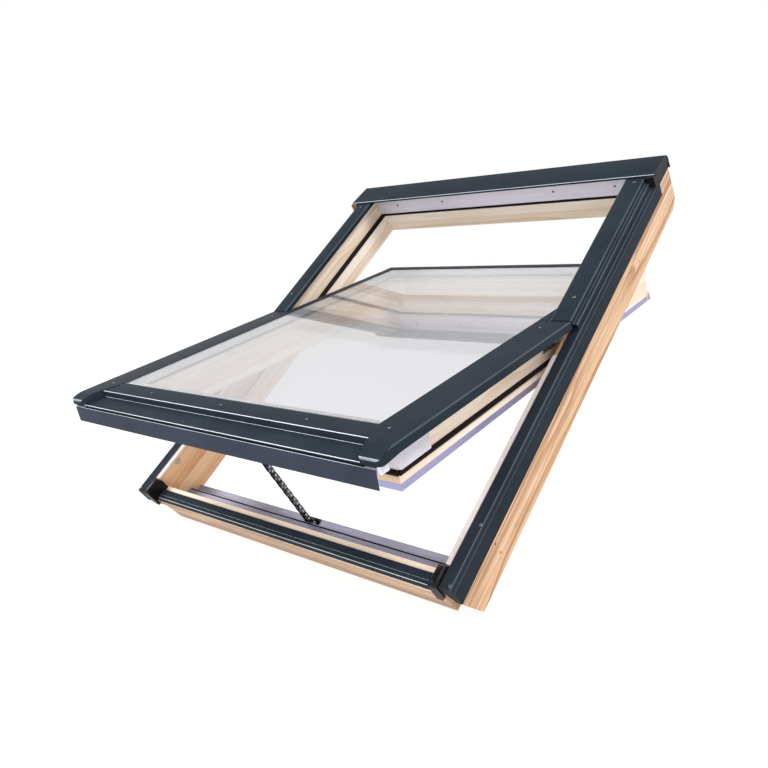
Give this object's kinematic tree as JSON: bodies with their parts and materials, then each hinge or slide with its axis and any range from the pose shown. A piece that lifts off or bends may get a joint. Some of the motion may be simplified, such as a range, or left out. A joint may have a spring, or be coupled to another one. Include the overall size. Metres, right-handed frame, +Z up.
{
  "type": "roof window",
  "caption": "Centre-pivot roof window with timber frame and sash, dark metal covers, double glazing and a push-chain opener.",
  "frame": {"origin": "middle of the pivot axis of the sash", "axes": "+Z up, +Y level and into the roof, +X along the pivot axis, to the right seen from outside; the frame lies in a roof that slopes 42 degrees"},
  "size_m": [0.788, 0.9522, 0.7331],
  "materials": {
    "pine_frame": "clear-lacquered pine, laminated",
    "pine_sash": "clear-lacquered pale pine",
    "cladding": "satin anthracite coating on folded aluminium sheet",
    "grey_aluminium": "satin grey coated aluminium profile",
    "glass": "clear float glass",
    "rubber": "matt black sealing rubber",
    "dark_plastic": "dark moulded plastic",
    "white_plastic": "white translucent moulded plastic",
    "steel": "zinc-plated steel",
    "black_steel": "black coated steel"
  },
  "bodies": {
    "frame": {"frame_left_jamb": "pine_frame", "frame_right_jamb": "pine_frame", "frame_head": "pine_frame", "frame_sill": "pine_frame", "jamb_cover_left": "cladding", "jamb_cover_right": "cladding", "upper_cover_left": "cladding", "upper_cover_right": "cladding", "head_hood": "cladding", "sill_cover": "cladding", "head_rail": "grey_aluminium", "jamb_strip_left": "grey_aluminium", "jamb_strip_right": "grey_aluminium", "sill_profile": "grey_aluminium", "frame_seal": "rubber", "sill_corner_left": "rubber", "sill_corner_right": "rubber", "hood_cap_left": "dark_plastic", "hood_cap_right": "dark_plastic", "frame_pivot_left": "steel", "frame_pivot_right": "steel", "friction_discs": "steel", "chain_pin": "steel", "head_screws": "steel", "frame_cover_screws": "steel", "frame_pivot_screws": "steel", "chain_bracket": "black_steel"},
    "sash": {"sash_left_stile": "pine_sash", "sash_right_stile": "pine_sash", "sash_top_rail": "pine_sash", "sash_bottom_rail": "pine_sash", "outer_pane": "glass", "inner_pane": "glass", "glass_spacer": "steel", "glazing_tape": "rubber", "sash_cover_left": "cladding", "sash_cover_right": "cladding", "sash_bottom_cover": "cladding", "drip_plate": "cladding", "sash_top_trim": "cladding", "sash_bead_left": "cladding", "sash_bead_right": "cladding", "sash_seal": "rubber", "sash_inner_trim": "grey_aluminium", "corner_block_left": "white_plastic", "corner_block_right": "white_plastic", "sash_pivot_left": "steel", "sash_pivot_right": "steel", "chain_drive": "dark_plastic", "drive_plate": "steel", "sash_cover_screws": "steel", "sash_pivot_screws": "steel"},
    "chain": {"chain_inner_links": "steel", "chain_outer_links": "steel"}
  },
  "joints": [
    {"name": "sash_swing", "type": "hinge", "parent": "frame", "child": "sash", "pos_m": [0, 0, 0], "axis": [-1, 0, 0], "range_deg": [-26.19, 0]},
    {"name": "chain_swing", "type": "hinge", "parent": "frame", "child": "chain", "pos_m": [0, -0.25677, -0.33952], "axis": [-1, 0, 0], "range_deg": [-13.2, 0.1], "deforming": ["chain_inner_links", "chain_outer_links"]}
  ],
  "couplings": [
    {"joint": "chain_swing", "follows": "sash_swing", "ratio": 0.5}
  ]
}
